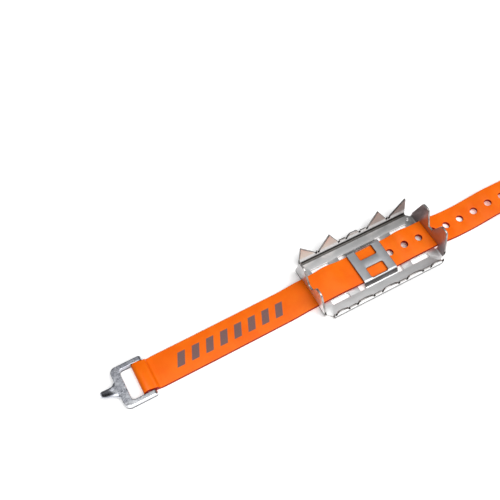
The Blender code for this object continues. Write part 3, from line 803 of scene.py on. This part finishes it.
def build_buckle(materials):
    """The cast buckle: its rough pieces melt into one skin whose corners are worn round by smoothing."""
    bm = bmesh.new()
    add_frame(bm)
    nose = BUCKLE_HEIGHT / 2
    for side in (-1, 1):
        add_tube(bm, ARM_END_X - nose, nose, nose, side * BUCKLE_INNER_HALF, side * BUCKLE_HALF)
    bar_half = BUCKLE_HALF - BAR_INSET
    add_tube(bm, BAR.x, BAR.z, BAR_RADIUS, -bar_half, bar_half)
    add_hook(bm)
    bmesh.ops.triangulate(bm, faces=bm.faces[:])
    for vertex in bm.verts:
        vertex.co.y -= TAIL_DRIFT
    rough = finish_piece("buckle_rough", bm, [])
    melt = rough.modifiers.new("melt", "REMESH")
    melt.mode = "VOXEL"
    melt.voxel_size = CAST_VOXEL
    melt.use_smooth_shade = True
    wear = rough.modifiers.new("wear", "SMOOTH")
    wear.factor = 0.5
    wear.iterations = CAST_SMOOTHING
    bpy.context.view_layer.update()
    graph = bpy.context.evaluated_depsgraph_get()
    mesh = bpy.data.meshes.new_from_object(rough.evaluated_get(graph))
    mesh.name = "buckle_cast"
    bpy.data.objects.remove(rough, do_unlink=True)
    made = bpy.data.objects.new("buckle_cast", mesh)
    bpy.context.collection.objects.link(made)
    mesh.polygons.foreach_set("use_smooth", [True] * len(mesh.polygons))
    mesh.materials.clear()
    for material in materials:
        mesh.materials.append(material)
    return made


# ---------------------------------------------------------------- materials


class Nodes:
    """Short ways to add and join shader nodes in one material."""

    def __init__(self, name):
        self.material = bpy.data.materials.new(name)
        self.material.use_nodes = True
        self.tree = self.material.node_tree
        self.shader = self.tree.nodes["Principled BSDF"]

    def add(self, kind, settings=None, **inputs):
        """Adds a node. Its inputs are given by name, or by number as i0, i1 and i2."""
        node = self.tree.nodes.new(kind)
        for name, value in (settings or {}).items():
            setattr(node, name, value)
        for name, value in inputs.items():
            numbered = name[0] == "i" and name[1:].isdigit()
            self.feed(node.inputs[int(name[1:]) if numbered else name], value)
        return node

    def feed(self, socket, value):
        """Links a socket to another one, or sets it to a plain value."""
        if isinstance(value, bpy.types.NodeSocket):
            self.tree.links.new(value, socket)
        else:
            socket.default_value = value

    def vary(self, name, value):
        """Lets one of the shader's values change over the piece."""
        self.feed(self.shader.inputs[name], value)

    def even(self, values):
        """Sets shader values that are the same all over the piece."""
        for name, value in values.items():
            self.shader.inputs[name].default_value = value

    def object_place(self):
        return self.add("ShaderNodeTexCoord").outputs["Object"]

    def split(self, vector):
        """The X, Y and Z sockets of a vector."""
        return self.add("ShaderNodeSeparateXYZ", None, Vector=vector).outputs

    def math(self, operation, first, second=0.0, third=0.0):
        node = self.add("ShaderNodeMath", {"operation": operation}, i0=first, i1=second, i2=third)
        return node.outputs[0]

    def product(self, first, *others):
        for other in others:
            first = self.math("MULTIPLY", first, other)
        return first

    def weighted(self, first, first_weight, second, second_weight):
        """The sum of two values, each times its weight."""
        parts = self.product(first, first_weight), self.product(second, second_weight)
        return self.math("ADD", *parts)

    def near_middle(self, value, half):
        """1 where a value is closer to 0 than half, else 0."""
        return self.math("LESS_THAN", self.math("ABSOLUTE", value), half)

    def place(self, source, scale):
        """Coordinates from a socket, stretched by three scales."""
        settings = {"operation": "MULTIPLY"}
        return self.add("ShaderNodeVectorMath", settings, i0=source, i1=scale).outputs[0]

    def noise(self, where, scale, detail=3.0, roughness=0.55):
        node = self.add("ShaderNodeTexNoise", None, Vector=where, Scale=scale, Detail=detail)
        self.feed(node.inputs["Roughness"], roughness)
        return node.outputs["Fac"]

    def spread(self, value, span, low, high):
        """A value stretched from one span to low and high, and clamped."""
        node = self.add("ShaderNodeMapRange")
        for index, item in enumerate((value, *span, low, high)):
            self.feed(node.inputs[index], item)
        return node.outputs[0]

    def rise(self, value, start, end):
        """0 before the start, 1 past the end."""
        return self.spread(value, (start, end), 0.0, 1.0)

    def fall(self, value, start, end):
        """1 before the start, 0 past the end."""
        return self.spread(value, (start, end), 1.0, 0.0)

    def mix(self, share, first, second):
        """A colour between the first one, at a share of 0, and the second one, at 1."""
        node = self.add("ShaderNodeMix", {"data_type": "RGBA"})
        self.feed(node.inputs[0], share)
        self.feed(node.inputs[6], first)
        self.feed(node.inputs[7], second)
        return node.outputs[2]

    def bump(self, height, distance, strength):
        node = self.add("ShaderNodeBump", None, Strength=strength, Distance=distance, Height=height)
        self.vary("Normal", node.outputs[0])


NOISE_MIDDLE = (0.35, 0.65)
NOISE_WIDE = (0.3, 0.7)

# Steel colours, as a darker and a paler one for each region of the sheet. The regions' colours are painted
# light and shade: paler for painted reflections and bounced light, darker for painted shade.
LOW_SIDE_LEFT = ((0.90, 0.90, 0.90, 1), (0.97, 0.97, 0.97, 1))
LOW_SIDE_RIGHT = ((0.76, 0.76, 0.765, 1), (0.84, 0.84, 0.84, 1))
SPIKE_SIDE_LEFT = ((0.41, 0.41, 0.415, 1), (0.47, 0.47, 0.47, 1))
SPIKE_SIDE_RIGHT = ((0.30, 0.30, 0.30, 1), (0.35, 0.35, 0.345, 1))
BRIDGE_STEEL = ((0.43, 0.44, 0.46, 1), (0.50, 0.51, 0.53, 1))
SPIKE_FACE_RIGHT = (0.38, 0.31, 0.29, 1)
SPIKE_FACE_LEFT = (0.94, 0.81, 0.71, 1)
RAIL_FACE = (0.95, 0.94, 0.93, 1)
UNDER_STRAP = (0.95, 0.86, 0.83, 1)
END_FACE = (0.44, 0.35, 0.355, 1)
RISER_FACE = (0.12, 0.11, 0.11, 1)
# Painted shade for the folds and the relief notches.
PAINTED_SHADE = (0.04, 0.035, 0.03, 1)

# Spans in metres from the middle of the bracket's base, over which one steel colour gives way to the next.
LENGTH_SPAN = (-0.045, 0.045)
WIDTH_SPAN = (-0.020, 0.020)
PAST_MIDDLE = (0.0, 0.001)
BRIDGE_SIDE_SPARE = 0.0002
BRIDGE_Z = (0.0024, 0.0040)
STRAP_EDGE_SPARE = 0.0015
BASE_TOP_Z = (0.0017, 0.0019)
OUTER_FOLD_Z = (0.0039, 0.0049)
INNER_FOLD_Z = (0.0034, 0.0042)
INNER_FOLD_Y = (FLAT_HALF_Y - 0.0010, FLAT_HALF_Y - 0.0004)
WALL_Z = (0.0040, 0.0048)
SPIKE_Z = (0.0072, 0.0090)
SPIKE_FACE_X = (-0.030, 0.045)
BRIDGE_RISER_Y = (-0.0190, -0.0185)

# Noise patterns, as scale, detail and roughness.
SHEET_LINES = (1.0, 4.0, 0.6)
SHEET_LINES_STRETCH = (60.0, 2600.0, 2600.0)
SHEET_FINE = (900.0, 3.0, 0.6)
SHEET_CLOUDS = (55.0, 3.0, 0.5)
SMUDGE = (130.0, 3.0, 0.5)
SMUDGE_STRETCH = (1.0, 2.0, 1.0)

# How strongly each region's painted light or shade covers the sheet's own colour.
SPIKE_FACE_COVER = 0.9
END_FACE_COVER = 0.9
RISER_COVER = 0.85
PAINTED_SHADE_COVER = 0.92

# Spans of one coordinate of a face's direction.
NOT_UP = (0.0, 0.05)
SPIKE_FACE_TURN = (-0.95, -0.90)
END_FACE_TURN = (-0.95, -0.85)
RISER_TURN = (-0.85, -0.60)


def steel_sheet():
    """Satin rolled stainless sheet with fine lines along its length and a few handling marks.

    The low-tooth side is painted brighter than the spike side: a painted reflection on one side and painted
    shade on the other. The inner faces of the spikes and the metal under the strap are paler, as painted
    reflections, the +X end wall's inner face and the bridge's -Y riser are darker, as painted shade, and the
    folds carry dark lines of painted shade.
    """
    nodes = Nodes("satin_stainless")
    where = nodes.object_place()
    lines = nodes.noise(nodes.place(where, SHEET_LINES_STRETCH), *SHEET_LINES)
    fine = nodes.noise(where, *SHEET_FINE)
    clouds = nodes.noise(where, *SHEET_CLOUDS)
    smudge = nodes.noise(nodes.place(where, SMUDGE_STRETCH), *SMUDGE)
    tone = nodes.rise(nodes.weighted(lines, 0.5, clouds, 0.5), *NOISE_MIDDLE)

    settings = {"operation": "SUBTRACT"}
    centred = nodes.add("ShaderNodeVectorMath", settings, i0=where, i1=ORIGIN).outputs[0]
    x, y, z = nodes.split(centred)
    face_turn = nodes.add("ShaderNodeNewGeometry").outputs["True Normal"]
    turn_x, turn_y, turn_z = nodes.split(face_turn)

    # Painted light: the low-tooth side is painted brighter as a painted reflection, the spike side darker as
    # painted shade, and each side paler towards -X.
    along = nodes.rise(x, *LENGTH_SPAN)
    sides = []
    for left, right in ((LOW_SIDE_LEFT, LOW_SIDE_RIGHT), (SPIKE_SIDE_LEFT, SPIKE_SIDE_RIGHT)):
        sides.append(nodes.mix(along, nodes.mix(tone, *left), nodes.mix(tone, *right)))
    sheet = nodes.mix(nodes.rise(y, *WIDTH_SPAN), *sides)

    # Painted reflection: the bridge's top gets its own bluish steel colour for the light it reflects.
    on_bridge = nodes.product(
        nodes.near_middle(x, BRIDGE_HALF_X + BRIDGE_SIDE_SPARE),
        nodes.near_middle(y, BRIDGE_FOOT_Y),
        nodes.rise(z, *BRIDGE_Z),
    )
    sheet = nodes.mix(on_bridge, sheet, nodes.mix(tone, *BRIDGE_STEEL))
    # Painted light: the base under the strap is painted pale pink for the strap's orange light bounced onto
    # it.
    under = nodes.product(
        nodes.near_middle(y, STRAP_HALF - STRAP_EDGE_SPARE), nodes.fall(z, *BASE_TOP_Z)
    )
    sheet = nodes.mix(under, sheet, UNDER_STRAP)

    # Painted reflections: the spike side's inner faces are painted pale beige towards -X, darker towards +X,
    # and near white along the rail.
    spike_wall = nodes.product(
        nodes.rise(z, *WALL_Z), nodes.fall(turn_y, *SPIKE_FACE_TURN), nodes.rise(y, *PAST_MIDDLE)
    )
    spike_face = nodes.mix(nodes.fall(x, *SPIKE_FACE_X), SPIKE_FACE_RIGHT, SPIKE_FACE_LEFT)
    spike_face = nodes.mix(nodes.rise(z, *SPIKE_Z), RAIL_FACE, spike_face)
    sheet = nodes.mix(nodes.product(spike_wall, SPIKE_FACE_COVER), sheet, spike_face)
    # Painted shade with a painted reflection of the strap: the +X end wall's inner face is painted darker and
    # mauve.
    end_wall_face = nodes.product(nodes.rise(x, *PAST_MIDDLE), nodes.fall(turn_x, *END_FACE_TURN))
    sheet = nodes.mix(nodes.product(end_wall_face, END_FACE_COVER), sheet, END_FACE)
    # Painted shade: the bridge's -Y riser is painted nearly black.
    riser = nodes.product(
        nodes.fall(turn_y, *RISER_TURN), nodes.rise(y, *BRIDGE_RISER_Y), nodes.fall(y, *PAST_MIDDLE)
    )
    sheet = nodes.mix(nodes.product(riser, RISER_COVER), sheet, RISER_FACE)

    # Painted shade: dark lines along the outer folds near the table and along the inner fold on the spike
    # side.
    outer_fold = nodes.product(nodes.fall(z, *OUTER_FOLD_Z), nodes.fall(turn_z, *NOT_UP))
    inner_fold = nodes.product(nodes.fall(z, *INNER_FOLD_Z), nodes.rise(y, *INNER_FOLD_Y))
    painted_fold_shade = nodes.math("MAXIMUM", outer_fold, inner_fold)
    nodes.vary("Base Color", nodes.mix(nodes.product(painted_fold_shade, PAINTED_SHADE_COVER), sheet, PAINTED_SHADE))

    pale = nodes.math("MAXIMUM", spike_wall, under)
    nodes.vary("Metallic", nodes.spread(pale, (0.0, 1.0), 0.85, 0.35))
    line_rough = nodes.spread(lines, NOISE_WIDE, 0.29, 0.34)
    smudge_rough = nodes.spread(smudge, (0.35, 0.85), 0.0, 0.06)
    nodes.vary("Roughness", nodes.math("ADD", line_rough, smudge_rough))
    nodes.bump(nodes.weighted(lines, 0.7, fine, 0.3), 0.00001, 0.16)
    return nodes.material


CUT_LINES = (1.0, 3.0, 0.6)
CUT_LINES_STRETCH = (3000.0, 3000.0, 500.0)
CUT_CLOUDS = (180.0, 2.0, 0.5)
# Rim greys: painted darker than the sheet as a painted dark reflection, and a pale grey painted as light on
# the base's rims.
CUT_DARK = (0.26, 0.24, 0.23, 1)
CUT_PALE = (0.46, 0.44, 0.43, 1)
CUT_BASE = (0.62, 0.61, 0.60, 1)
NOTCH_START_Z = (0.0030, 0.0034)
NOTCH_END_Z = (0.0068, 0.0073)
NOTCH_Y = (0.0200, 0.0220)
CUT_BASE_Z = (0.0017, 0.0025)


def steel_cut():
    """The sheared rims, with short lines across them, painted darker than the sheet as a painted dark
    reflection: painted shade in the relief notches, painted light on the rims in the base.
    """
    nodes = Nodes("cut_stainless")
    where = nodes.object_place()
    grain = nodes.noise(nodes.place(where, CUT_LINES_STRETCH), *CUT_LINES)
    clouds = nodes.noise(where, *CUT_CLOUDS)
    # Painted dark reflection: the rims are painted darker than the sheet; the clouds vary their tone at
    # random.
    rim = nodes.mix(nodes.rise(clouds, *NOISE_MIDDLE), CUT_DARK, CUT_PALE)
    _, y, z = nodes.split(where)
    # Painted shade: the relief notches, at full strength on the side walls and at 0.45 nearer the middle,
    # over the bridge.
    notch = nodes.product(
        nodes.rise(z, *NOTCH_START_Z),
        nodes.fall(z, *NOTCH_END_Z),
        nodes.spread(nodes.math("ABSOLUTE", y), NOTCH_Y, 0.45, 1.0),
    )
    rim = nodes.mix(notch, rim, PAINTED_SHADE)
    # Painted light: the rims in the base are painted pale.
    nodes.vary("Base Color", nodes.mix(nodes.fall(z, *CUT_BASE_Z), rim, CUT_BASE))
    nodes.vary("Roughness", nodes.spread(grain, NOISE_WIDE, 0.22, 0.36))
    nodes.even({"Metallic": 0.85})
    nodes.bump(grain, 0.00002, 0.7)
    return nodes.material


CAST_MOTTLE = (620.0, 5.0, 0.62)
CAST_PATCHES = (220.0, 3.0, 0.5)
CAST_FINE = (1900.0, 3.0, 0.6)
CAST_DENT_SCALE = 650.0
CAST_DISH_COVER = 0.85
CAST_DARK = (0.40, 0.415, 0.47, 1)
CAST_PALE = (0.70, 0.72, 0.77, 1)
# Painted light and shade on the casting: a brighter arm as painted reflection, a darker arm, the dish and the
# foot as painted shade.
CAST_LOW_SIDE_ARM = (0.96, 0.97, 0.98, 1)
CAST_SPIKE_SIDE_ARM = (0.30, 0.31, 0.35, 1)
CAST_DISH = (0.10, 0.10, 0.115, 1)
CAST_FOOT = (0.06, 0.06, 0.07, 1)
LOW_SIDE_ARM_Y = (ORIGIN.y - 0.0170, ORIGIN.y - 0.0120)
SPIKE_SIDE_ARM_Y = (ORIGIN.y + 0.0080, ORIGIN.y + 0.0130)
DISH_X = (ORIGIN.x + BUCKLE_LEFT_X - 0.0060, ORIGIN.x + BUCKLE_LEFT_X - 0.0032)
DISH_TURN = (0.55, 0.85)
CAST_FOOT_Z = (0.0018, 0.0030)


def cast_aluminium():
    """Tumbled cast aluminium, mottled and dented.

    The arm on the low-tooth side is painted brighter as a painted reflection, the other arm is painted darker
    as painted shade, and the hook's dish and the foot of the casting are painted dark as painted shade.
    """
    nodes = Nodes("tumbled_aluminium")
    where = nodes.object_place()
    mottle = nodes.noise(where, *CAST_MOTTLE)
    patches = nodes.noise(where, *CAST_PATCHES)
    fine = nodes.noise(where, *CAST_FINE)
    cells = nodes.add(
        "ShaderNodeTexVoronoi", {"feature": "SMOOTH_F1"}, Vector=where, Scale=CAST_DENT_SCALE, Smoothness=0.6
    )
    dents = cells.outputs["Distance"]
    shade = nodes.rise(nodes.weighted(mottle, 0.6, patches, 0.4), 0.38, 0.62)
    skin = nodes.mix(shade, CAST_DARK, CAST_PALE)

    x, y, z = nodes.split(where)
    face_turn = nodes.add("ShaderNodeNewGeometry").outputs["Normal"]
    # Painted shade: the hook dish's upward faces are painted near black.
    dish = nodes.product(nodes.fall(x, *DISH_X), nodes.rise(nodes.split(face_turn)["Z"], *DISH_TURN))
    # Painted reflection on the low-tooth side's arm, painted shade on the spike side's arm.
    skin = nodes.mix(nodes.spread(y, LOW_SIDE_ARM_Y, 0.65, 0.0), skin, CAST_LOW_SIDE_ARM)
    skin = nodes.mix(nodes.spread(y, SPIKE_SIDE_ARM_Y, 0.0, 0.5), skin, CAST_SPIKE_SIDE_ARM)
    skin = nodes.mix(nodes.product(dish, CAST_DISH_COVER), skin, CAST_DISH)
    # Painted shade: the foot of the casting is painted near black, fading out between 1.8 and 3 mm up.
    nodes.vary("Base Color", nodes.mix(nodes.fall(z, *CAST_FOOT_Z), skin, CAST_FOOT))

    nodes.even({"Metallic": 1.0})
    nodes.vary("Roughness", nodes.spread(mottle, NOISE_WIDE, 0.20, 0.40))
    pits = nodes.weighted(mottle, 1.0, fine, 0.25)
    nodes.bump(nodes.weighted(dents, 0.6, pits, 0.5), 0.00016, 0.55)
    return nodes.material


ORANGE_CLOUDS = (70.0, 3.0, 0.5)
ORANGE_GRAIN = (2600.0, 2.0, 0.5)
FLOW_LINES = (1.0, 3.0, 0.5)
FLOW_STRETCH = (40.0, 700.0, 700.0)
INK_WEAR = (1500.0, 4.0, 0.6)
ORANGE_DEEP = (0.88, 0.134, 0.001, 1)
ORANGE_PALE = (0.925, 0.164, 0.003, 1)
# Painted shade for the strap's flanks.
FLANK_RED = (0.30, 0.005, 0.0005, 1)
FLANK_RISE = (0.04, 0.40)
UPPER_FACE_FLANK = 0.15
INK = (0.125, 0.105, 0.115, 1)
PRINT_START = 0.1650
PRINT_END = 0.0760
PRINT_PITCH = 0.0115
PRINT_BAR_SHARE = 0.52
PRINT_SLANT = -0.45
PRINT_HALF = 0.0052
PRINT_Y = 0.0010


def printed_bars(nodes, where, flank):
    """Share of ink on the strap: a row of plain slanted bars, a little worn, on its upper face only."""
    x, y, _ = nodes.split(where)
    slant = nodes.math("ADD", x, nodes.product(y, PRINT_SLANT))
    phase = nodes.math("DIVIDE", nodes.math("ADD", slant, PRINT_START), PRINT_PITCH)
    worn = nodes.spread(nodes.noise(where, *INK_WEAR), (0.25, 0.42), 0.55, 0.92)
    return nodes.product(
        nodes.math("LESS_THAN", nodes.math("FRACT", phase), PRINT_BAR_SHARE),
        nodes.near_middle(nodes.math("ADD", y, PRINT_Y), PRINT_HALF),
        nodes.math("GREATER_THAN", slant, -PRINT_START),
        nodes.math("LESS_THAN", slant, -PRINT_END),
        nodes.math("LESS_THAN", flank, UPPER_FACE_FLANK),
        worn,
    )


def polyurethane(name, printed):
    """Satin see-through orange, painted deeper and redder on its flanks as painted shade. The buckle end
    carries plain bars.
    """
    nodes = Nodes(name)
    where = nodes.add("ShaderNodeAttribute", {"attribute_name": "rest"}).outputs["Vector"]
    flank = nodes.add("ShaderNodeAttribute", {"attribute_name": "flank"}).outputs["Fac"]
    clouds = nodes.noise(where, *ORANGE_CLOUDS)
    grain = nodes.noise(where, *ORANGE_GRAIN)
    flow = nodes.noise(nodes.place(where, FLOW_STRETCH), *FLOW_LINES)
    top = nodes.mix(nodes.rise(clouds, *NOISE_MIDDLE), ORANGE_DEEP, ORANGE_PALE)
    # Painted shade: the flanks are painted deep red.
    body = nodes.mix(nodes.rise(flank, *FLANK_RISE), top, FLANK_RED)
    if printed:
        body = nodes.mix(printed_bars(nodes, where, flank), body, INK)
    nodes.vary("Base Color", body)
    top_rough = nodes.spread(nodes.weighted(clouds, 0.5, flow, 0.5), NOISE_MIDDLE, 0.33, 0.44)
    flank_rough = nodes.spread(flank, (0.10, 0.60), 0.0, 0.35)
    nodes.vary("Roughness", nodes.math("ADD", top_rough, flank_rough))
    nodes.even({
        "Subsurface Weight": 0.12,
        "Subsurface Radius": (1.0, 0.35, 0.10),
        "Subsurface Scale": 0.0015,
        "Specular IOR Level": 0.22,
        "IOR": 1.45,
    })
    nodes.bump(nodes.weighted(grain, 1.0, flow, 0.5), 0.00001, 0.35)
    return nodes.material


TABLE_WHITES = ((0.95, 0.95, 0.95, 1), (0.97, 0.97, 0.97, 1))


def table_top():
    """A matt white table, faintly lit by itself so that shadows on it stay light."""
    nodes = Nodes("white_table")
    clouds = nodes.noise(nodes.object_place(), 40.0)
    nodes.vary("Base Color", nodes.mix(clouds, *TABLE_WHITES))
    nodes.even({
        "Roughness": 0.6,
        "Emission Color": (1.0, 1.0, 1.0, 1.0),
        "Emission Strength": 0.22,
    })
    return nodes.material


# ---------------------------------------------------------------- building

bracket_bm = sheet_solid(
    bracket_outline(), bracket_holes(), bracket_creases(), place_bracket, CUT_ROUNDING, HALF_SHEET
)
bracket = finish_piece("bracket_folded", bracket_bm, [steel_sheet(), steel_cut()])
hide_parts("spike_bracket")
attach(bracket, "bracket")

plain_orange = polyurethane("orange_strap", False)
printed_orange = polyurethane("orange_strap_printed", True)
free_strap = build_free_strap([plain_orange, plain_orange])
buckle_strap = build_buckle_strap([printed_orange, printed_orange])
STRAP_PARTS = (
    (free_strap, ("strap_free_tail",)),
    (buckle_strap, ("strap_middle", "strap_buckle_tail")),
)
for piece, parts in STRAP_PARTS:
    keep_rest_place(piece)
    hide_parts(*parts)


def bend_at(piece):
    """Bakes the piece's placement into its mesh."""
    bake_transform(piece)


bend_at(free_strap)
bend_at(buckle_strap)

buckle = build_buckle([cast_aluminium()])
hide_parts("hook_buckle")
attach(buckle, "buckle")

# ---------------------------------------------------------------- table, light and camera

TABLE_HALF = 14.0
TABLE_Z = -0.0004

table_bm = bmesh.new()
bmesh.ops.create_grid(table_bm, x_segments=8, y_segments=8, size=TABLE_HALF)
table = finish_piece("table", table_bm, [table_top()])
table.location.z = TABLE_Z

# Brightness of the room by how nearly a direction points at the soft box.
SOFTBOX_AIM = Vector((0.13, -0.38, 0.915)).normalized()
SOFTBOX_STOPS = (
    (0.30, 0.04),
    (0.50, 0.12),
    (0.62, 0.30),
    (0.70, 0.46),
    (0.78, 0.66),
    (0.84, 1.1),
    (0.87, 2.8),
    (0.90, 3.6),
)


def studio():
    """One big soft box overhead, leaning towards the low-tooth side, with soft edges and a dark room."""
    world = bpy.data.worlds.new("studio")
    bpy.context.scene.world = world
    world.use_nodes = True
    tree = world.node_tree
    direction = tree.nodes.new("ShaderNodeTexCoord").outputs["Generated"]
    aim = tree.nodes.new("ShaderNodeVectorMath")
    aim.operation = "DOT_PRODUCT"
    aim.inputs[1].default_value = SOFTBOX_AIM
    tree.links.new(direction, aim.inputs[0])
    ramp = tree.nodes.new("ShaderNodeValToRGB")
    tree.links.new(aim.outputs["Value"], ramp.inputs[0])
    stops = ramp.color_ramp.elements
    for index, (place, level) in enumerate(SOFTBOX_STOPS):
        stop = stops[index] if index < 2 else stops.new(place)
        stop.position = place
        stop.color = (level, level, level, 1)
    tree.links.new(ramp.outputs[0], tree.nodes["Background"].inputs["Color"])


studio()

CAMERA_PLACE = Vector((-0.2093, -0.1955, 0.4859))
CAMERA_DEGREES = 38.405
VIEW = Vector((0.2376, 0.4465, -0.8627)).normalized()
RIGHT = Vector((0.8790, -0.4768, -0.0046))
RIGHT = (RIGHT - VIEW * RIGHT.dot(VIEW)).normalized()
camera_data = bpy.data.cameras.new("camera")
camera_data.sensor_width = 36.0
camera_data.angle = math.radians(CAMERA_DEGREES)
camera_data.clip_start = 0.01
camera = bpy.data.objects.new("camera", camera_data)
camera_turn = Matrix((RIGHT, RIGHT.cross(VIEW), -VIEW)).transposed()
camera.matrix_world = Matrix.Translation(ORIGIN + CAMERA_PLACE) @ camera_turn.to_4x4()
bpy.context.collection.objects.link(camera)
bpy.context.scene.camera = camera
bpy.context.scene.view_settings.view_transform = "Standard"
